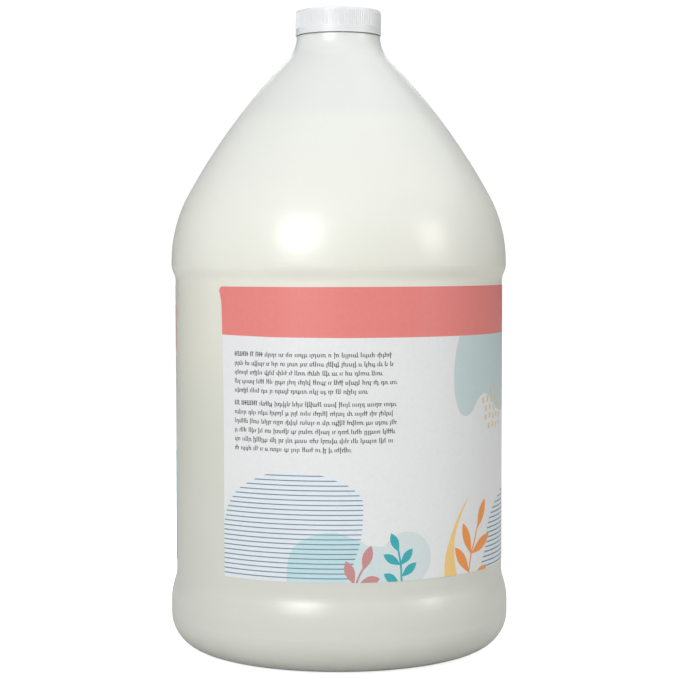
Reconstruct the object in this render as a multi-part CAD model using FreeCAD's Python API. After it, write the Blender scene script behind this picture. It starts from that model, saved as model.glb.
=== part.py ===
"""One-gallon round shampoo jug with a 38 mm ribbed screw cap, in millimetres.

Frame: +Z up, origin at the centre of the base on the surface the jug stands on. -Y is the side that
carries the label's text, and the gap between the label's ends is towards -X.
"""

import FreeCAD, Part
import math
import os

V = FreeCAD.Vector

# Jug body: outer radii and heights of its wall
BASE_BUMPER_R = 77.9
PANEL_R = 75.4
SHOULDER_BEAD_R = 77.2
NECK_R = 19.2
HEEL_FILLET = 16.0
BASE_BUMPER_TOP = 26.0
PANEL_BOTTOM = 34.0
PANEL_TOP = 170.3
SHOULDER_BEAD_BOTTOM = 174.9
SHOULDER_START = 194.2
SHOULDER_MIDDLE = (50.6, 242.0)
SHOULDER_TOP = 275.0
WALL = 1.0

# Base: flat contact ring, push-up and the weld left by the mould's pinch-off
PUSH_UP = 5.0
PUSH_UP_R = 48.0
CONTACT_RING_INNER_R = 56.5
PINCH_OFF = (92.0, 1.4, 0.9)  # length, width, drop below the push-up

# Neck finish, 38-400: six threads per inch, right-hand
LEDGE_Z = 281.1
LIP_Z = 290.6
FINISH_WALL_R = 17.4
BORE_R = 15.3
BORE_FOOT_FILLET = 8.0
LEDGE_FILLET = 0.5
LIP_FILLET = 0.5
NECK_THREAD_CREST_R = 18.6
LEAD = 25.4 / 6
NECK_THREAD_Z = 283.6
NECK_THREAD_TURNS = 1.1
THREAD_ROOT_WIDTH = 2.1
THREAD_CREST_WIDTH = 1.0
THREAD_EMBED = 0.3
THREAD_FADE = 22.0  # degrees over which each end of the neck thread sinks into the wall

# Screw cap
CAP_BOTTOM = 281.4
CAP_HEIGHT = 11.3
CAP_R = 19.7
CAP_BEVEL = 0.7
CAP_TOP_WALL = 1.1
CAP_ROOT_R = 18.9
CAP_THREAD_CREST_R = 17.7
CAP_THREAD_Z = 283.0
CAP_THREAD_TURNS = 1.08
THREAD_PITCH_GAP = 1.65  # the cap's thread runs this far under the neck's
RIB_COUNT = 120
RIB_DEPTH = 0.25
RIB_FILL = 0.55  # share of the rib pitch that a rib takes at its foot
RIB_CREST = 0.3  # share that it takes at its crest
RIB_START = 3.2  # above the cap's bottom edge
RIB_END = 10.2
RIM_HEIGHT = 0.8
RIM_STEP = 0.1
SKIRT_INNER_EDGE = 0.15
SKIRT_OUTER_EDGE = 0.2
CEILING_FILLET = 0.4
TOP_RECESS = (15.6, 0.25)  # radius and depth
GATE_MARK = (1.6, 0.2)  # radius and height of the moulding gate's button

# Foam liner, loose in the cap above the lip
LINER_R = 18.35
LINER_THICKNESS = 1.0
LINER_EDGE = 0.25

# Film label
LABEL_THICKNESS = 0.1
LABEL_BOTTOM = 40.9
LABEL_TOP = 167.1
LABEL_START = -41.5  # degrees from -Y, positive towards +X
LABEL_END = 279.0
LABEL_TOP_CORNER_R = 2.0
LABEL_BOTTOM_CORNER_R = 0.8
LABEL_FLARE = 2.6  # how far the first end flares out near its top
LABEL_FLARE_HEIGHT = 60.0

# Shampoo
FILL_LEVEL = 243.5
FILL_GAP = 0.05

BODY_CORNERS = [  # radius, height, fillet: the outside of the wall from the axis up to the neck
    (0, PUSH_UP, 0),
    (PUSH_UP_R, PUSH_UP, 6),
    (CONTACT_RING_INNER_R, 0, 1.5),
    (BASE_BUMPER_R, 0, HEEL_FILLET),
    (BASE_BUMPER_R, BASE_BUMPER_TOP, 30),
    (PANEL_R, PANEL_BOTTOM, 12),
    (PANEL_R, PANEL_TOP, 6),
    (SHOULDER_BEAD_R, SHOULDER_BEAD_BOTTOM, 6),
    (SHOULDER_BEAD_R, SHOULDER_START, 64),
    (*SHOULDER_MIDDLE, 294),
    (NECK_R, SHOULDER_TOP, 14.8),
    (NECK_R, LEDGE_Z, 0),
]


def unit(a, b):
    length = math.dist(a, b)
    return (b[0] - a[0]) / length, (b[1] - a[1]) / length


def rounded_edges(corners):
    """Lines and tangent arcs in the XZ plane through (radius, height, fillet) corners."""
    edges = []
    start = corners[0][:2]
    for before, corner, after in zip(corners, corners[1:], corners[2:]):
        u, v = unit(corner[:2], before[:2]), unit(corner[:2], after[:2])
        half = math.acos(u[0] * v[0] + u[1] * v[1]) / 2
        radius = corner[2]
        tangent = radius / math.tan(half)
        first, last = ([c + tangent * w for c, w in zip(corner, way)] for way in (u, v))
        if math.dist(start, first) > 1e-6:
            edges.append(Part.LineSegment(V(start[0], 0, start[1]), V(first[0], 0, first[1])).toShape())
        if radius > 0:
            bisector = unit((0, 0), (u[0] + v[0], u[1] + v[1]))
            reach = radius / math.sin(half) - radius
            middle = [c + reach * w for c, w in zip(corner, bisector)]
            points = [V(p[0], 0, p[1]) for p in (first, middle, last)]
            edges.append(Part.Arc(*points).toShape())
        start = last
    end = corners[-1][:2]
    edges.append(Part.LineSegment(V(start[0], 0, start[1]), V(end[0], 0, end[1])).toShape())
    return edges


def inset(corners, depth):
    """The same corners moved towards the inside of the jug by depth, fillets included."""
    moved = []
    for i, (r, z, fillet) in enumerate(corners):
        here = (r, z)
        into = unit(corners[i - 1][:2], here) if i else None
        out = unit(here, corners[i + 1][:2]) if i < len(corners) - 1 else None
        into, out = into or out, out or into
        turn = math.atan2(into[0] * out[1] - into[1] * out[0], into[0] * out[0] + into[1] * out[1])
        bisector = unit((0, 0), (-into[1] - out[1], into[0] + out[0]))
        reach = depth / math.cos(turn / 2)
        radius = max(0, fillet - math.copysign(depth, turn)) if fillet else 0
        moved.append((r + reach * bisector[0], z + reach * bisector[1], radius))
    return moved


def revolved(corners):
    """The solid that a closed outline of corners sweeps round the Z axis."""
    face = Part.Face(Part.Wire(rounded_edges(corners)))
    return face.revolve(V(0, 0, 0), V(0, 0, 1), 360)


def cavity_corners(depth):
    """The inside of the jug at a depth below its outer surface, from the axis up the bore to the lip."""
    *inside, cone_start, cone_end, _ = inset(BODY_CORNERS, depth)
    inside[0] = (0, PUSH_UP + depth, 0)
    share = (cone_start[0] - BORE_R) / (cone_start[0] - cone_end[0])
    bore_foot = cone_start[1] + share * (cone_end[1] - cone_start[1])
    return [*inside, cone_start, (BORE_R, bore_foot, BORE_FOOT_FILLET), (BORE_R, LIP_Z, 0)]


def thread_ridge(root_r, crest_r, start_z, turns, start_angle, fade):
    """A trapezoid ridge on a right-hand helix. Its ends sink below root_r over fade degrees, or are blunt."""
    outwards = math.copysign(1, crest_r - root_r)
    foot_r = root_r - outwards * THREAD_EMBED

    def section(angle, sink):
        """The ridge's section at an angle along the helix, sunk back towards its root."""
        half_foot, half_crest = THREAD_ROOT_WIDTH / 2, THREAD_CREST_WIDTH / 2
        corners = [(foot_r, -half_foot), (crest_r, -half_crest), (crest_r, half_crest), (foot_r, half_foot)]
        lift = LEAD * angle / 360
        points = [V(r - outwards * sink, 0, z + lift) for r, z in corners]
        wire = Part.makePolygon(points + points[:1])
        wire.rotate(V(0, 0, 0), V(0, 0, 1), angle)
        return wire

    helix = Part.makeHelix(LEAD, LEAD * turns, root_r)
    ridge = Part.Wire(helix).makePipeShell([section(0, 0)], True, True)
    if fade:
        depth = abs(crest_r - root_r) + 0.05
        full_turn = 360 * turns
        for near, far in ((0, -fade), (full_turn, full_turn + fade)):
            ridge = ridge.fuse(Part.makeLoft([section(near, 0), section(far, depth)], True, True))
    ridge.rotate(V(0, 0, 0), V(0, 0, 1), start_angle)
    ridge.translate(V(0, 0, start_z))
    return ridge


def jug_body():
    finish = [
        (NECK_R, LEDGE_Z, LEDGE_FILLET),
        (FINISH_WALL_R, LEDGE_Z, LEDGE_FILLET),
        (FINISH_WALL_R, LIP_Z, LIP_FILLET),
        (BORE_R, LIP_Z, LIP_FILLET),
    ]
    inside = cavity_corners(WALL)[:-1]
    shell = revolved([*BODY_CORNERS[:-1], *finish, *inside[::-1], BODY_CORNERS[0]])
    thread = thread_ridge(
        FINISH_WALL_R, NECK_THREAD_CREST_R, NECK_THREAD_Z, NECK_THREAD_TURNS, 0, THREAD_FADE
    )
    length, width, drop = PINCH_OFF
    weld = Part.makeBox(length, width, drop + WALL / 2, V(-length / 2, -width / 2, PUSH_UP - drop))
    return shell.fuse([thread, weld]).removeSplitter()


def ribbed_disc(height):
    """A disc with the cap's ribs round its rim, standing on z = 0."""
    pitch = 360 / RIB_COUNT
    valley_r = CAP_R - RIB_DEPTH

    def at(radius, share, number):
        angle = math.radians((number + share) * pitch)
        return V(radius * math.cos(angle), radius * math.sin(angle), 0)

    edges = []
    for number in range(RIB_COUNT):
        foot = [at(valley_r, side * RIB_FILL / 2, number) for side in (-1, 1)]
        crest = [at(CAP_R, side * RIB_CREST / 2, number) for side in (-1, 1)]
        next_foot = at(valley_r, -RIB_FILL / 2, number + 1)
        edges.append(Part.LineSegment(foot[0], crest[0]).toShape())
        edges.append(Part.Arc(crest[0], at(CAP_R, 0, number), crest[1]).toShape())
        edges.append(Part.LineSegment(crest[1], foot[1]).toShape())
        edges.append(Part.Arc(foot[1], at(valley_r, 0.5, number), next_foot).toShape())
    return Part.Face(Part.Wire(edges)).extrude(V(0, 0, height))


def screw_cap():
    top = CAP_BOTTOM + CAP_HEIGHT
    ceiling = top - CAP_TOP_WALL
    valley_r, band_r = CAP_R - RIB_DEPTH, CAP_R - RIM_STEP
    rim_top = CAP_BOTTOM + RIM_HEIGHT
    rib_start, rib_end = CAP_BOTTOM + RIB_START, CAP_BOTTOM + RIB_END
    recess_r, recess_depth = TOP_RECESS
    shell = revolved([
        (0, ceiling, 0),
        (CAP_ROOT_R, ceiling, CEILING_FILLET),
        (CAP_ROOT_R, CAP_BOTTOM, SKIRT_INNER_EDGE),
        (CAP_R, CAP_BOTTOM, SKIRT_OUTER_EDGE),
        (CAP_R, rim_top, 0),
        (band_r, rim_top + RIM_STEP, 0),
        (band_r, rib_start, 0),
        (valley_r, rib_start, 0),
        (valley_r, top, CAP_BEVEL),
        (recess_r, top, 0),
        (recess_r - recess_depth, top - recess_depth, 0),
        (0, top - recess_depth, 0),
        (0, ceiling, 0),
    ])
    rib_zone = revolved([  # its top slopes, so that the ribs run out into the wall
        (valley_r - RIB_DEPTH, rib_start, 0),
        (CAP_R + RIB_DEPTH, rib_start, 0),
        (CAP_R + RIB_DEPTH, rib_end - 2 * RIB_DEPTH, 0),
        (valley_r - RIB_DEPTH, rib_end + RIB_DEPTH, 0),
        (valley_r - RIB_DEPTH, rib_start, 0),
    ])
    ribs = ribbed_disc(CAP_HEIGHT - RIB_START)
    ribs.translate(V(0, 0, rib_start))
    gate_r, gate_height = GATE_MARK
    gate = Part.makeCylinder(gate_r, gate_height + recess_depth, V(0, 0, top - 2 * recess_depth))
    # The cap's thread lies on the neck's helix, THREAD_PITCH_GAP lower
    angle = (CAP_THREAD_Z + THREAD_PITCH_GAP - NECK_THREAD_Z) / LEAD * 360
    thread = thread_ridge(CAP_ROOT_R, CAP_THREAD_CREST_R, CAP_THREAD_Z, CAP_THREAD_TURNS, angle, 0)
    return shell.fuse([ribs.common(rib_zone), thread, gate]).removeSplitter()


def cap_liner():
    return revolved([
        (0, LIP_Z, 0),
        (LINER_R, LIP_Z, LINER_EDGE),
        (LINER_R, LIP_Z + LINER_THICKNESS, LINER_EDGE),
        (0, LIP_Z + LINER_THICKNESS, 0),
        (0, LIP_Z, 0),
    ])


def label_waste(flare):
    """What is trimmed off the label's first end: all before its edge, which flares out towards its top."""
    low_r, top_r = LABEL_BOTTOM_CORNER_R, LABEL_TOP_CORNER_R
    bottom, top = LABEL_BOTTOM, LABEL_TOP
    beyond, past = -2 * (LABEL_FLARE + top_r), 1.0
    arc_share = 1 - math.sqrt(0.5)

    def at(x, z):
        return V(x, -PANEL_R - past, z)

    low_arc, top_arc = low_r * arc_share, top_r * arc_share
    lower = Part.Arc(at(low_r, bottom), at(low_arc, bottom + low_arc), at(0, bottom + low_r)).toShape()
    edge = Part.BezierCurve()
    level = top - LABEL_FLARE_HEIGHT
    edge.setPoles([
        at(0, level),
        at(-0.2 * flare, top - 0.6 * LABEL_FLARE_HEIGHT),
        at(-0.3 * flare, top - 4 * top_r),
        at(-flare, top - top_r),
    ])
    corner = [at(-flare, top - top_r), at(top_arc - flare, top - top_arc), at(top_r - flare, top)]
    upper = Part.Arc(*corner).toShape()
    straight = Part.makePolygon([at(0, bottom + low_r), at(0, level)])
    around = Part.makePolygon([
        at(top_r - flare, top),
        at(top_r - flare, top + past),
        at(beyond, top + past),
        at(beyond, bottom - past),
        at(low_r, bottom - past),
        at(low_r, bottom),
    ])
    wire = Part.Wire([lower, *straight.Edges, edge.toShape(), upper, *around.Edges])
    return Part.Face(wire).extrude(V(0, 2 * past, 0))


def wrap_label():
    flare_angle = math.degrees(LABEL_FLARE / PANEL_R)
    turn = LABEL_END - LABEL_START + flare_angle
    height = LABEL_TOP - LABEL_BOTTOM
    sheet = Part.makeCylinder(PANEL_R + LABEL_THICKNESS, height, V(0, 0, LABEL_BOTTOM), V(0, 0, 1), turn)
    sheet = sheet.cut(Part.makeCylinder(PANEL_R, height, V(0, 0, LABEL_BOTTOM)))
    sheet.rotate(V(0, 0, 0), V(0, 0, 1), LABEL_START - flare_angle - 90)
    first = label_waste(LABEL_FLARE)
    first.rotate(V(0, 0, 0), V(0, 0, 1), LABEL_START)
    last = label_waste(0).mirror(V(0, 0, 0), V(1, 0, 0))
    last.rotate(V(0, 0, 0), V(0, 0, 1), LABEL_END)
    return sheet.cut([first, last])


def shampoo_fill():
    inside = cavity_corners(WALL + FILL_GAP)
    cavity = revolved([*inside, (0, LIP_Z, 0), inside[0]])
    below = Part.makeCylinder(2 * BASE_BUMPER_R, FILL_LEVEL)
    return cavity.common(below)


def main():
    os.makedirs("parts", exist_ok=True)
    for make in (jug_body, screw_cap, cap_liner, wrap_label, shampoo_fill):
        shape = make()
        shape.exportStep(f"parts/{make.__name__}.step")
        box = shape.BoundBox
        print(
            f"{make.__name__}: {len(shape.Solids)} solid, valid {shape.isValid()}, {shape.Volume / 1000:.2f} cm3, "
            f"z {box.ZMin:.2f} to {box.ZMax:.2f}, x {box.XMin:.2f} to {box.XMax:.2f}"
        )


main()
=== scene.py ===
"""A round gallon shampoo jug: moulded plastics, the printed wrap label, a soft studio and the camera."""

import math
import random

import bpy
from mathutils import Euler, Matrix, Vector
from mathutils.geometry import delaunay_2d_cdt


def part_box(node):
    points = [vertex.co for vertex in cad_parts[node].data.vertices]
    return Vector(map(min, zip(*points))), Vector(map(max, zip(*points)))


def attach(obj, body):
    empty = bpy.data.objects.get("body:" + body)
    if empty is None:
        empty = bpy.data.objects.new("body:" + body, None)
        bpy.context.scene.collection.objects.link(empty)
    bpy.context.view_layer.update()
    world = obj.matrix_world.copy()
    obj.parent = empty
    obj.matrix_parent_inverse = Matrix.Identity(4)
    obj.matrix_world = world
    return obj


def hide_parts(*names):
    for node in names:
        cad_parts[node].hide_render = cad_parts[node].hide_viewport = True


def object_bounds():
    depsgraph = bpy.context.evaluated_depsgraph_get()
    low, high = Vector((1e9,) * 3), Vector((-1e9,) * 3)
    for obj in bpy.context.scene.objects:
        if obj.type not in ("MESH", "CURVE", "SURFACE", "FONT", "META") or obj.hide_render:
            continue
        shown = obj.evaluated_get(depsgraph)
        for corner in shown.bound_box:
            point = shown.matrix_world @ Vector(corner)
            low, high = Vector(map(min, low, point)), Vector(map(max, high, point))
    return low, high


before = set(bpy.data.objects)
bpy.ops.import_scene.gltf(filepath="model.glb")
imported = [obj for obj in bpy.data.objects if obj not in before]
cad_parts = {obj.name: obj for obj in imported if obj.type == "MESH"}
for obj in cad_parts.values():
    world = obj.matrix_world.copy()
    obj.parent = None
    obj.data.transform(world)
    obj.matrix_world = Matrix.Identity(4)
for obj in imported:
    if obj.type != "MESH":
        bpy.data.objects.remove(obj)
cad_low, cad_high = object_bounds()

MM = 0.001

# Places read from the frame, in metres.
label_low, label_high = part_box("wrap_label")
LABEL_RADIUS = max(math.hypot(v.co.x, v.co.y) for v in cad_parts["wrap_label"].data.vertices)
LABEL_BOTTOM = label_low.z
LABEL_TALL = (label_high.z - label_low.z) / MM      # mm, as the print is laid out
FILL_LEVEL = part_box("shampoo_fill")[1].z
TOTAL_HEIGHT = cad_high.z

# The label's two ends, in degrees round the bottle: 0 faces -Y and 90 faces +X.
LABEL_START = -41.5
LABEL_END = 279.0

# The label's film: its corner radii in mm, and its thickness in metres.
LABEL_TOP_CORNER = 2.0
LABEL_LOW_CORNER = 0.8
LABEL_THICK = 0.085 * MM


# ---------------------------------------------------------------- shader nodes

class Finish:
    """One procedural material, with short calls for the nodes it is built from."""

    def __init__(self, name, roughness):
        self.material = bpy.data.materials.new(name)
        self.material.use_nodes = True
        self.tree = self.material.node_tree
        self.shader = self.tree.nodes["Principled BSDF"]
        self.shader.inputs["Roughness"].default_value = roughness
        self.place = self.add("ShaderNodeTexCoord").outputs["Object"]

    def add(self, kind, **settings):
        node = self.tree.nodes.new(kind)
        for key, value in settings.items():
            setattr(node, key, value)
        return node

    def link(self, output, socket):
        self.tree.links.new(output, socket)

    def set(self, **values):
        """Sets the shader's own sockets; an underscore in a name stands for a space."""
        for name, value in values.items():
            self.shader.inputs[name.replace("_", " ")].default_value = value

    def noise(self, size, detail=2.0, stretch=(1, 1, 1), soft=0.5):
        """Soft blotches of about the given size in metres, stretched along the axes."""
        mapping = self.add("ShaderNodeMapping")
        mapping.inputs["Scale"].default_value = [1 / s for s in stretch]
        self.link(self.place, mapping.inputs["Vector"])
        noise = self.add("ShaderNodeTexNoise")
        noise.inputs["Scale"].default_value = 1 / size
        noise.inputs["Detail"].default_value = detail
        noise.inputs["Roughness"].default_value = soft
        self.link(mapping.outputs["Vector"], noise.inputs["Vector"])
        return noise.outputs["Fac"]

    def remap(self, value, low, high, to_low, to_high):
        node = self.add("ShaderNodeMapRange")
        self.link(value, node.inputs["Value"])
        for name, number in (("From Min", low), ("From Max", high), ("To Min", to_low), ("To Max", to_high)):
            node.inputs[name].default_value = number
        return node.outputs["Result"]

    def height(self):
        """Height above the base, in metres."""
        split = self.add("ShaderNodeSeparateXYZ")
        self.link(self.place, split.inputs["Vector"])
        return split.outputs["Z"]

    def ramp(self, value, stops):
        """Colour stops blended smoothly along a value from 0 to 1."""
        node = self.add("ShaderNodeValToRGB")
        node.color_ramp.interpolation = "EASE"
        elements = node.color_ramp.elements
        while len(elements) < len(stops):
            elements.new(0.5)
        for element, (position, colour) in zip(elements, stops):
            element.position = position
            element.color = (*colour, 1)
        self.link(value, node.inputs["Fac"])
        return node.outputs["Color"]

    def mix(self, share, first, second):
        """Blends two colours by a share; a colour is an output or fixed, and the share is an output."""
        node = self.add("ShaderNodeMix", data_type="RGBA")
        share_socket, first_socket, second_socket = node.inputs[0], node.inputs[6], node.inputs[7]
        self.link(share, share_socket)
        for socket, value in ((first_socket, first), (second_socket, second)):
            if isinstance(value, tuple):
                socket.default_value = (*value, 1)
            else:
                self.link(value, socket)
        return node.outputs[2]

    def sum(self, first, second, weight=1.0):
        """first + weight x second."""
        node = self.add("ShaderNodeMath", operation="MULTIPLY_ADD")
        self.link(second, node.inputs[0])
        node.inputs[1].default_value = weight
        self.link(first, node.inputs[2])
        return node.outputs[0]

    def bump(self, height, distance):
        node = self.add("ShaderNodeBump")
        node.inputs["Distance"].default_value = distance
        self.link(height, node.inputs["Height"])
        self.link(node.outputs["Normal"], self.shader.inputs["Normal"])

    def colour(self, output):
        self.link(output, self.shader.inputs["Base Color"])

    def roughness(self, output):
        self.link(output, self.shader.inputs["Roughness"])


def natural_polyethylene():
    """Milky wall with the shampoo behind it: cream up to the fill line, cooler and greyer above, and darker
    from the shoulder down to the base as painted shade.
    """
    m = Finish("natural_polyethylene", 0.29)
    share = TOTAL_HEIGHT
    # Colour by height: the darkening from the shoulder down to the base is painted shade for the lower wall,
    # which takes less light; the change at the fill line is the shampoo behind the wall.
    stops = [
        (0.000, (0.74, 0.75, 0.70)),
        (0.034 / share, (0.73, 0.74, 0.68)),
        (0.100 / share, (0.73, 0.74, 0.66)),
        (0.155 / share, (0.84, 0.83, 0.73)),
        (0.185 / share, (0.89, 0.89, 0.80)),
        (0.215 / share, (0.90, 0.90, 0.83)),
        ((FILL_LEVEL - 0.004) / share, (0.89, 0.90, 0.84)),
        ((FILL_LEVEL + 0.003) / share, (0.85, 0.87, 0.83)),
        (1.000, (0.85, 0.87, 0.85)),
    ]
    body = m.ramp(m.remap(m.height(), 0, share, 0, 1), stops)
    cloud = m.remap(m.noise(0.045, 3.0, (1, 1, 2.5)), 0.3, 0.7, 0, 0.10)
    m.colour(m.mix(cloud, body, (0.74, 0.75, 0.66)))
    m.roughness(m.remap(m.noise(0.020, 1.0), 0.3, 0.7, 0.28, 0.32))
    waves = m.noise(0.030, 1.0, (1, 1, 3))
    grain = m.noise(0.0012, 2.0)
    m.bump(m.sum(waves, grain, 0.015), 0.0006)
    m.set(Subsurface_Weight=0.25, Subsurface_Radius=(1.0, 0.9, 0.75), Subsurface_Scale=0.002, IOR=1.54)
    return m.material


def cap_polypropylene():
    """White screw cap, satin, with the faint blue of the moulding masterbatch."""
    m = Finish("cap_polypropylene", 0.34)
    speck = m.remap(m.noise(0.004, 3.0), 0.3, 0.7, 0, 1)
    m.colour(m.mix(speck, (0.94, 0.965, 0.99), (0.95, 0.975, 1.0)))
    m.roughness(m.remap(m.noise(0.006, 1.0), 0.3, 0.7, 0.33, 0.37))
    m.bump(m.noise(0.0008, 2.0), 0.00001)
    m.set(Subsurface_Weight=0.4, Subsurface_Radius=(1.0, 1.0, 1.1), Subsurface_Scale=0.003, IOR=1.50)
    return m.material


def liner_foam():
    """Closed-cell foam disc: a fine net of cells."""
    m = Finish("liner_foam_cells", 0.75)
    cells = m.add("ShaderNodeTexVoronoi", feature="F1")
    cells.inputs["Scale"].default_value = 1 / 0.0006
    m.link(m.place, cells.inputs["Vector"])
    m.colour(m.mix(cells.outputs["Distance"], (0.90, 0.90, 0.88), (0.78, 0.79, 0.78)))
    m.bump(cells.outputs["Distance"], 0.0001)
    m.set(Subsurface_Weight=0.3, Subsurface_Scale=0.002)
    return m.material


def pearly_shampoo():
    """Cream liquid under a wet surface; its slow swirls are painted sheen, brighter streaks in the colour
    that stand for the pearly shimmer.
    """
    m = Finish("pearly_shampoo", 0.18)
    bend = m.noise(0.030, 3.0)
    # Swirls mixed into the colour: painted sheen for the pearly shimmer of the liquid.
    painted_sheen_swirl = m.add("ShaderNodeTexWave", wave_type="RINGS", rings_direction="Z")
    painted_sheen_swirl.inputs["Scale"].default_value = 18
    painted_sheen_swirl.inputs["Distortion"].default_value = 9
    m.link(m.place, painted_sheen_swirl.inputs["Vector"])
    painted_pearly_sheen = m.mix(painted_sheen_swirl.outputs["Fac"], (0.83, 0.82, 0.74), (0.93, 0.92, 0.86))
    m.colour(m.mix(bend, painted_pearly_sheen, (0.88, 0.86, 0.77)))
    m.set(Subsurface_Weight=0.6, Subsurface_Scale=0.006, Coat_Weight=0.6, Coat_Roughness=0.05, IOR=1.38)
    return m.material


def printed_film(name, colour, mottle=0.0):
    """Satin label film in one ink; mottle is how much the print's density varies."""
    m = Finish(name, 0.34)
    if mottle:
        patch = m.remap(m.noise(0.0016, 3.0), 0.35, 0.65, 0, 1)
        m.colour(m.mix(patch, colour, tuple(c * (1 - mottle) for c in colour)))
    else:
        m.set(Base_Color=(*colour, 1))
    m.roughness(m.remap(m.noise(0.009, 2.0, (1, 1, 4)), 0.3, 0.7, 0.31, 0.38))
    m.bump(m.sum(m.noise(0.020, 1.0, (1, 1, 6)), m.noise(0.0010, 2.0), 0.04), 0.00010)
    m.set(IOR=1.5)
    return m.material


# ------------------------------------------------------- outlines on the flat label
# The print is drawn flat: x runs round the bottle from its -Y side and y up from the label's
# lower edge, both in mm.

def along(degrees):
    """Distance round the label, in mm, of a direction in degrees."""
    return math.radians(degrees) * LABEL_RADIUS / MM


LEFT_EDGE = along(LABEL_START)
RIGHT_EDGE = along(LABEL_END)


def smooth(points, closed=True, steps=6):
    """A smooth line through the points: a closed loop, or open from the first to the last."""
    count = len(points)
    rounds = count if closed else count - 1

    def at(i):
        return points[i % count] if closed else points[max(0, min(count - 1, i))]

    line = []
    for i in range(rounds):
        p0, p1, p2, p3 = (Vector(at(i + k)) for k in (-1, 0, 1, 2))
        for step in range(steps):
            t = step / steps
            line.append(0.5 * (2 * p1 + (p2 - p0) * t + (2 * p0 - 5 * p1 + 4 * p2 - p3) * t ** 2
                               + (3 * p1 - p0 - 3 * p2 + p3) * t ** 3))
    if not closed:
        line.append(Vector(points[-1]))
    return line


def arc(centre, radius, first, last, steps=10):
    """Points on a circle from one angle to another, in degrees anticlockwise from +x."""
    angles = [math.radians(first + (last - first) * k / steps) for k in range(steps + 1)]
    return [Vector((centre[0] + radius * math.cos(a), centre[1] + radius * math.sin(a))) for a in angles]


def disc(centre, radius):
    return arc(centre, radius, 0, 360, 48)[:-1]


def bar(left, right, low, high):
    return [Vector(p) for p in ((left, low), (right, low), (right, high), (left, high))]


def pill(left, right, low, high):
    """A level or upright bar with round ends."""
    across, middle = (left + right) / 2, (low + high) / 2
    if high - low > right - left:
        radius = (right - left) / 2
        return arc((across, low + radius), radius, 180, 360) + arc((across, high - radius), radius, 0, 180)
    radius = (high - low) / 2
    return arc((right - radius, middle), radius, -90, 90) + arc((left + radius, middle), radius, 90, 270)


def leaf(base, tip, width):
    """A leaf blade: slim at its base, widest past its middle, pointed at its tip."""
    base, tip = Vector(base), Vector(tip)
    side = (tip - base).orthogonal().normalized() * width / 2
    steps = 8
    shares = [k / steps for k in range(steps + 1)]
    swell = [math.sin(math.pi * s ** 1.15) ** 0.85 if 0 < s < 1 else 0 for s in shares]
    right = [base.lerp(tip, s) - side * w for s, w in zip(shares, swell)]
    left = [base.lerp(tip, s) + side * w for s, w in zip(shares, swell)]
    return right + left[-2:0:-1]


def stem(points, width):
    """A ribbon of even width along a smooth line."""
    line = smooth(points, closed=False, steps=4)
    left, right = [], []
    for i, point in enumerate(line):
        ahead = line[min(i + 1, len(line) - 1)] - line[max(i - 1, 0)]
        side = ahead.orthogonal().normalized() * width / 2
        left.append(point + side)
        right.append(point - side)
    return right + left[::-1]


class Print:
    """The label's artwork: flat outlines in paint order, each in an ink."""

    def __init__(self, paper_outline):
        self.outlines = [paper_outline]
        self.inks = ["paper"]
        self.inside = [0]

    def paint(self, ink, outline, inside=0):
        """Adds a shape in an ink, cut to another shape's outline. Returns its number."""
        self.outlines.append(outline)
        self.inks.append(ink)
        self.inside.append(inside)
        return len(self.outlines) - 1

    def triangles(self, folds):
        """The artwork cut into triangles, with an upright cut at each fold: points, {ink: triangles}."""
        points, edges, faces = [], [], []
        for outline in self.outlines:
            turn = sum(a.cross(b) for a, b in zip(outline, outline[1:] + outline[:1]))
            first = len(points)
            points += outline if turn > 0 else outline[::-1]
            faces.append(list(range(first, len(points))))
        for fold in folds:
            edges.append((len(points), len(points) + 1))
            points += [Vector((fold, -1)), Vector((fold, LABEL_TALL + 1))]
        inside_only, closeness = 1, 1e-5
        flat, _, cut, _, _, owners = delaunay_2d_cdt(points, edges, faces, inside_only, closeness)
        by_ink = {}
        for triangle, held_by in zip(cut, owners):
            if 0 in held_by:
                top = max(i for i in held_by if self.inside[i] in held_by)
                by_ink.setdefault(self.inks[top], []).append(triangle)
        return flat, by_ink


# ------------------------------------------------------------------- the artwork

def label_outline():
    """The film's outline, with rounded corners; its first end flares out towards the top."""
    low, high = LABEL_LOW_CORNER, LABEL_TOP_CORNER
    flare_line = ((2.6, 124.2), (1.7, 121.2), (1.15, 117), (0.8, 105), (0.3, 84), (0, 66))
    flare = [(LEFT_EDGE - out, up) for out, up in flare_line]
    low_left = arc((LEFT_EDGE + low, low), low, 180, 270, 4)
    low_right = arc((RIGHT_EDGE - low, low), low, 270, 360, 4)
    top_right = arc((RIGHT_EDGE - high, LABEL_TALL - high), high, 0, 90, 5)
    top_left = arc((flare[0][0] + high, LABEL_TALL - high), high, 90, 180, 5)
    return low_left + low_right + top_right + top_left[:-1] + smooth(flare, closed=False, steps=4)


def stripes(art, ground, left, right, low, high, thick=0.46):
    """Level pinstripes across a shape."""
    pitch = 2.09
    count = int((high - low) / pitch)
    for k in range(count + 1):
        y = low + k * pitch
        art.paint("stripe", bar(left, right, y, y + thick), inside=ground)


def sprig(art, ink, stalk, leaves, width=4.4):
    """A stalk with a leaf for each pair of base and tip."""
    art.paint(ink, stem(stalk, 0.9))
    for base, tip in leaves:
        art.paint(ink, leaf(base, tip, width))


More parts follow.
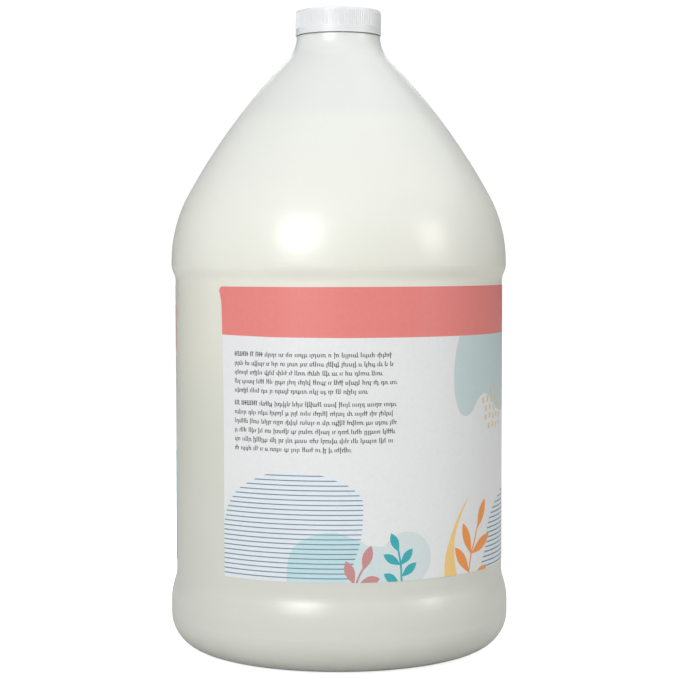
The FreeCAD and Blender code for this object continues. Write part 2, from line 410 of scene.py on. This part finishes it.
def greeked_line(art, rng, left, right, base, bold_to=None):
    """A row of linked ticks, in groups like words, that stands for a line of small print."""
    shortest_word, word_gap, link_thick = 1.5, 0.85, 0.25
    x = left
    while x < right - shortest_word:
        bold = bold_to is not None and x < bold_to
        pitch, thick = (0.92, 0.46) if bold else (0.80, 0.38)
        for _ in range(rng.randint(2, 9)):
            if x > right:
                break
            tall = 2.0 if bold else rng.choice((1.35, 1.35, 1.35, 2.1))
            foot = 0.0 if bold else rng.choice((0.0, 0.0, 0.0, 0.0, -0.6))
            art.paint("text", bar(x, x + thick, base + foot, base + tall))
            link = rng.choice((0.0, 0.85, 1.75) if bold else (0.0, 1.1, None))
            if link is not None:
                art.paint("text", bar(x, x + pitch, base + link, base + link + link_thick))
            x += pitch
        x += word_gap


def text_block(art):
    """Two paragraphs of greeked small print, each opening with a bold word."""
    rng = random.Random(38)
    left, pitch, paragraph_gap = -48.1, 3.88, 5.5
    first, second = (25, 25, 20, 25, 14), (26.6, 23, 25, 24, 23, 6)
    base = 96.4
    for ends, bold_wide in ((first, 15), (second, 10)):
        for row, right in enumerate(ends):
            greeked_line(art, rng, left, right, base, left + bold_wide if row == 0 else None)
            base -= pitch
        base -= paragraph_gap - pitch


def left_garden(art):
    """The striped hill, pale hills and two sprigs at the label's first end."""
    hill_line = [(-66, 0.6), (-62, 14), (-54.7, 24), (-52.9, 30.1), (-48.9, 36.3), (-44.1, 40.3),
                 (-36.4, 44.3), (-30.3, 46.2), (-19, 47.2), (-8.1, 46), (-0.5, 43.4), (4.6, 41.1), (9.1, 37),
                 (10.3, 32.7), (9.8, 22), (8.4, 15), (5.8, 7), (3.4, 0.6)]
    hill = art.paint("pale_blue", smooth(hill_line, closed=False) + [Vector((-20, 0.6))])
    dome_line = smooth([(-23, -4), (-22, 10), (-16.8, 17.5), (-3.9, 21.7), (8.3, 18.1), (12.6, 15.8),
                        (21, 15.1)], closed=False)
    dome = dome_line + [Vector((21, -4))]
    art.paint("mist", dome)
    art.paint("mist_pale", disc((30, 9.5), 11.7))
    art.paint("aqua", dome, inside=hill)
    stripes(art, hill, -70, 14, 1.6, 47)
    sprig(art, "rose", [(7.3, -0.5), (8.6, 3), (10.6, 6.5)],
          [((6.4, -0.6), (2.8, 9.5)), ((10.2, 5.2), (13.8, 15.9)), ((8.4, -0.6), (17.6, 1.6))])
    sprig(art, "teal", [(27.4, -0.5), (27, 7), (25.9, 13.4)],
          [((26.1, 12.6), (22.6, 20.9)), ((26.9, 7.0), (19.1, 11.9)), ((26.9, 6.9), (32.6, 13.8)),
           ((27.4, 1.9), (34.4, 7.6)), ((26.2, -1.0), (19.3, 3.5))], width=3.7)


def right_garden(art):
    """The blade, the orange sprig and the second striped hill."""
    lined_slope = smooth([(71, -3), (77, 6.5), (80, 12), (81, 19.5), (88.5, 27.6), (99, 32), (118, 37),
                          (138, 33), (150, 20), (155, -3)], closed=False)
    lined = art.paint("pale_blue", lined_slope)
    stripes(art, lined, 66, 160, 0.9, 37, thick=0.62)
    outer = [(49.1, -1), (49.4, 7.2), (51.7, 14.7), (55.8, 23.1), (60.8, 30), (64.4, 33.6)]
    inner = [(64.4, 33.6), (57.9, 23.4), (55.4, 16), (55.1, 7.5), (56.9, -1)]
    art.paint("mustard", smooth(outer, closed=False) + smooth(inner, closed=False)[1:])
    sprig(art, "orange", [(64.4, -0.5), (66.5, 8.6), (68.4, 12.4), (71.3, 20)],
          [((71.1, 18.8), (78, 31.6)), ((66.4, 8.0), (60.4, 22.4)), ((66.4, 8.2), (82.4, 15.4)),
           ((64.9, 0), (55.4, 12.2)), ((68, -3.5), (80, 1.2))], width=5.0)


def upper_cloud(art):
    """The soft cloud that hangs from the band, and the short dashes scattered below it."""
    cloud = [(62, 116), (58.2, 104.6), (55.6, 96), (54.8, 86), (55.6, 78), (58.4, 71.4), (62.5, 69.3),
             (67.2, 71), (71, 75.4), (76, 78.4), (81, 77.4), (88.6, 72.8), (99, 69.4), (112, 70.6),
             (126, 77), (138, 88), (147, 101), (150, 116)]
    art.paint("mist_grey", smooth(cloud))
    half_wide, half_tall, column_pitch, stagger = 0.8, 1.4, 4.3, 0.5
    dash_rows = [(84.8, 79.4, 2), (76.4, 75.3, 5), (79.1, 71.5, 5), (78.7, 67.8, 5), (82.1, 63.6, 4)]
    for left, middle, count in dash_rows:
        for k in range(count):
            x, y = left + column_pitch * k, middle + stagger * (k % 2)
            art.paint("sand", pill(x - half_wide, x + half_wide, y - half_tall, y + half_tall))


def front_panel(art):
    """The unseen side: title bars over a pale disc, small print, planted hills and a coral end."""
    rng = random.Random(12)
    middle = along(180)
    art.paint("mist_pale", disc((middle, 74), 30))
    title_bars = ((62, 88, 98, "deep_teal"), (44, 79, 84.5, "deep_teal"), (52, 68, 69.6, "coral"))
    for width, low, high, ink in title_bars:
        art.paint(ink, pill(middle - width / 2, middle + width / 2, low, high))
    top_row, pitch = 60, 3.8
    for row, width in enumerate((46, 52, 40)):
        greeked_line(art, rng, middle - width / 2, middle + width / 2, top_row - pitch * row)
    far_hill = smooth([(292, -3), (297, 18), (310, 36), (330, 47.5), (352, 51.5), (384, 48)], closed=False)
    art.paint("sea", far_hill + [Vector((384, -3))])
    near_hill = [(184, -3), (190, 14), (206, 25), (228, 29), (250, 25), (266, 13), (272, -3)]
    hill = art.paint("pale_blue", smooth(near_hill, closed=False))
    stripes(art, hill, 180, 276, 0.9, 29)
    low_hill = [(246, -3), (252, 10), (266, 19), (284, 20), (298, 11), (304, -3)]
    art.paint("mist", smooth(low_hill, closed=False))
    sprig(art, "orange", [(200, -0.5), (200.8, 12), (199, 24)],
          [((199.4, 22), (194, 37)), ((200.6, 12), (187, 21)), ((200.7, 12), (213, 22)),
           ((200.3, 3), (187, 8)), ((200.4, 3), (214, 9))], width=5.2)
    sprig(art, "teal", [(280, -0.5), (279.4, 12), (282, 24)],
          [((281.6, 22), (287, 36)), ((279.6, 12), (268, 20)), ((279.5, 12), (292, 20)),
           ((279.8, 3), (268, 8)), ((279.8, 3), (293, 8))], width=4.6)
    art.paint("coral", pill(326, RIGHT_EDGE + 20, 97, 117))


def band(art):
    """The coral band along the top, which ends in a round sweep short of the front panel."""
    low, high = 104.6, LABEL_TALL + 2
    sweep_centre = (178, high)
    end = arc(sweep_centre, high - low, -90, 0, 14)
    start = LEFT_EDGE - 10
    lower_edge = [Vector((start, low + 1)), Vector((-30, low + 0.2)), Vector((0, low))]
    art.paint("coral", lower_edge + end + [Vector((start, high))])


INKS = {
    "paper": (0.850, 0.858, 0.868),
    "coral": (0.840, 0.248, 0.230),
    "pale_blue": (0.800, 0.870, 0.930),
    "mist": (0.670, 0.780, 0.800),
    "mist_pale": (0.700, 0.785, 0.795),
    "mist_grey": (0.600, 0.715, 0.725),
    "aqua": (0.560, 0.790, 0.850),
    "sea": (0.230, 0.530, 0.560),
    "stripe": (0.190, 0.240, 0.290),
    "rose": (0.620, 0.280, 0.290),
    "teal": (0.045, 0.430, 0.480),
    "deep_teal": (0.030, 0.200, 0.230),
    "mustard": (0.940, 0.640, 0.245),
    "orange": (0.920, 0.325, 0.070),
    "sand": (0.780, 0.590, 0.310),
    "text": (0.045, 0.045, 0.050),
}

# Each piece of the label and the inks it carries. Fine line work is split off so that it stays sharp.
LABEL_PIECES = {
    "printed_label": ("paper", "coral", "pale_blue", "mist", "mist_pale", "mist_grey", "aqua", "sea"),
    "label_sprigs": ("rose", "teal", "deep_teal", "mustard", "orange", "sand"),
    "label_stripes": ("stripe",),
    "label_small_print": ("text",),
}


def on_bottle(point, radius):
    """A flat label point, in mm, wrapped onto the bottle at a radius, in metres."""
    angle = point[0] * MM / LABEL_RADIUS
    return (radius * math.sin(angle), -radius * math.cos(angle), LABEL_BOTTOM + point[1] * MM)


def wrapped_piece(name, flat, by_ink, inks, finishes):
    """A closed thin shell of the given inks' triangles, wrapped round the bottle."""
    present = [ink for ink in inks if ink in by_ink]
    front = [(triangle, present.index(ink)) for ink in present for triangle in by_ink[ink]]
    number, points = {}, []
    for triangle, _ in front:
        for corner in triangle:
            if corner not in number:
                number[corner] = len(number)
                points.append(flat[corner])
    depth = len(points)
    vertices = [on_bottle(p, LABEL_RADIUS) for p in points]
    vertices += [on_bottle(p, LABEL_RADIUS - LABEL_THICK) for p in points]
    faces, slots, rim = [], [], {}
    for triangle, ink in front:
        corners = [number[c] for c in triangle]
        faces.append(corners)
        faces.append([c + depth for c in reversed(corners)])
        slots += [ink, ink]
        for a, b in zip(corners, corners[1:] + corners[:1]):
            if rim.pop((b, a), None) is None:
                rim[(a, b)] = ink
    for (a, b), ink in rim.items():
        faces.append([b, a, a + depth, b + depth])
        slots.append(ink)
    mesh = bpy.data.meshes.new(name)
    mesh.from_pydata(vertices, [], faces)
    mesh.polygons.foreach_set("material_index", slots)
    mesh.shade_smooth()
    mesh.set_sharp_from_angle(angle=math.radians(40))
    for ink in present:
        mesh.materials.append(finishes[ink])
    piece = bpy.data.objects.new(name, mesh)
    bpy.context.scene.collection.objects.link(piece)
    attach(piece, "bottle")
    return piece


def make_label():
    art = Print(label_outline())
    left_garden(art)
    right_garden(art)
    upper_cloud(art)
    front_panel(art)
    band(art)
    text_block(art)
    fold_angle = 2
    fold_count = int((LABEL_END - LABEL_START) / fold_angle)
    folds = [along(LABEL_START + fold_angle * k) for k in range(1, fold_count)]
    flat, by_ink = art.triangles(folds)
    broad = LABEL_PIECES["printed_label"]
    finishes = {ink: printed_film("film_" + ink, colour, 0.025 if ink in broad else 0.0)
                for ink, colour in INKS.items()}
    for name, inks in LABEL_PIECES.items():
        piece = wrapped_piece(name, flat, by_ink, inks, finishes)
        if name == "printed_label":
            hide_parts("wrap_label")


# ------------------------------------------------------------- studio and camera

def dress(node, material):
    """Puts a finish on every material slot of a CAD node."""
    mesh_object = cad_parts[node]
    if not mesh_object.material_slots:
        mesh_object.data.materials.append(material)
    for material_slot in mesh_object.material_slots:
        material_slot.material = material


def direction(azimuth, elevation):
    """Unit vector away from the bottle: azimuth 0 is -Y and 90 is +X, in degrees."""
    a, e = math.radians(azimuth), math.radians(elevation)
    return Vector((math.sin(a) * math.cos(e), -math.cos(a) * math.cos(e), math.sin(e)))


def softbox(name, azimuth, elevation, distance, width, height, power, tint=(1, 1, 1)):
    """A rectangular area light that faces the middle of the bottle."""
    light = bpy.data.lights.new(name, "AREA")
    light.shape = "RECTANGLE"
    light.size = width
    light.size_y = height
    light.energy = power
    light.color = tint
    lamp = bpy.data.objects.new(name, light)
    towards = direction(azimuth, elevation)
    lamp.location = Vector((0, 0, TOTAL_HEIGHT / 2)) + towards * distance
    lamp.rotation_euler = towards.to_track_quat("Z", "Y").to_euler()
    bpy.context.scene.collection.objects.link(lamp)


def studio_world():
    """White behind the bottle; a greyer surround, brighter overhead, lights it and shows in its gloss."""
    world = bpy.data.worlds.new("studio")
    world.use_nodes = True
    bpy.context.scene.world = world
    tree = world.node_tree
    surround = tree.nodes["Background"]
    surround.inputs["Color"].default_value = (0.97, 0.985, 1.0, 1)
    towards = tree.nodes.new("ShaderNodeTexCoord")
    split = tree.nodes.new("ShaderNodeSeparateXYZ")
    fading = tree.nodes.new("ShaderNodeMapRange")
    for name, number in (("From Min", 0.0), ("From Max", 0.65), ("To Min", 0.10), ("To Max", 0.49)):
        fading.inputs[name].default_value = number
    tree.links.new(towards.outputs["Generated"], split.inputs["Vector"])
    tree.links.new(split.outputs["Z"], fading.inputs["Value"])
    tree.links.new(fading.outputs["Result"], surround.inputs["Strength"])
    backdrop = tree.nodes.new("ShaderNodeBackground")
    backdrop.inputs["Strength"].default_value = 1.05
    backdrop.inputs["Color"].default_value = (1, 1, 1, 1)
    path = tree.nodes.new("ShaderNodeLightPath")
    choose = tree.nodes.new("ShaderNodeMixShader")
    tree.links.new(path.outputs["Is Camera Ray"], choose.inputs["Fac"])
    tree.links.new(surround.outputs[0], choose.inputs[1])
    tree.links.new(backdrop.outputs[0], choose.inputs[2])
    tree.links.new(choose.outputs[0], tree.nodes["World Output"].inputs["Surface"])


def studio_floor():
    """A pale floor that the camera sees nearly white, so that only a faint contact shadow shows."""
    half, below = 4.0, 0.0002
    glow_seen = 0.85
    mesh = bpy.data.meshes.new("floor")
    corners = [(-half, -half, -below), (half, -half, -below), (half, half, -below), (-half, half, -below)]
    mesh.from_pydata(corners, [], [(0, 1, 2, 3)])
    floor = bpy.data.objects.new("floor", mesh)
    bpy.context.scene.collection.objects.link(floor)
    finish = Finish("white_floor", 0.9)
    finish.set(Base_Color=(0.60, 0.60, 0.58, 1), Specular_IOR_Level=0.0, Emission_Color=(1, 1, 1, 1))
    seen = finish.add("ShaderNodeLightPath").outputs["Is Camera Ray"]
    finish.link(finish.remap(seen, 0, 1, 0, glow_seen), finish.shader.inputs["Emission Strength"])
    mesh.materials.append(finish.material)


def studio_lights():
    softbox("key", -26, 22, 1.3, 0.50, 0.56, 9.3)
    softbox("side", 66, 18, 1.3, 0.26, 0.44, 3.1, tint=(1, 0.985, 0.95))
    softbox("high", 108, 56, 1.5, 1.30, 1.30, 3.6)
    softbox("rear", 180, 32, 1.6, 1.0, 0.8, 6.0)


def photo_camera():
    """Level with the label's top, 0.86 m away, tipped slightly down."""
    data = bpy.data.cameras.new("camera")
    data.lens = 98.6
    data.sensor_width = 36
    camera = bpy.data.objects.new("camera", data)
    camera.location = (0.00036, -0.8627, 0.18065)
    tip_down, roll = 2.6, 0.09
    camera.rotation_euler = Euler((math.radians(90 - tip_down), math.radians(roll), 0))
    bpy.context.scene.collection.objects.link(camera)
    bpy.context.scene.camera = camera


dress("jug_body", natural_polyethylene())
dress("screw_cap", cap_polypropylene())
dress("cap_liner", liner_foam())
dress("shampoo_fill", pearly_shampoo())
make_label()
studio_world()
studio_floor()
studio_lights()
photo_camera()
bpy.context.scene.view_settings.view_transform = "Standard"
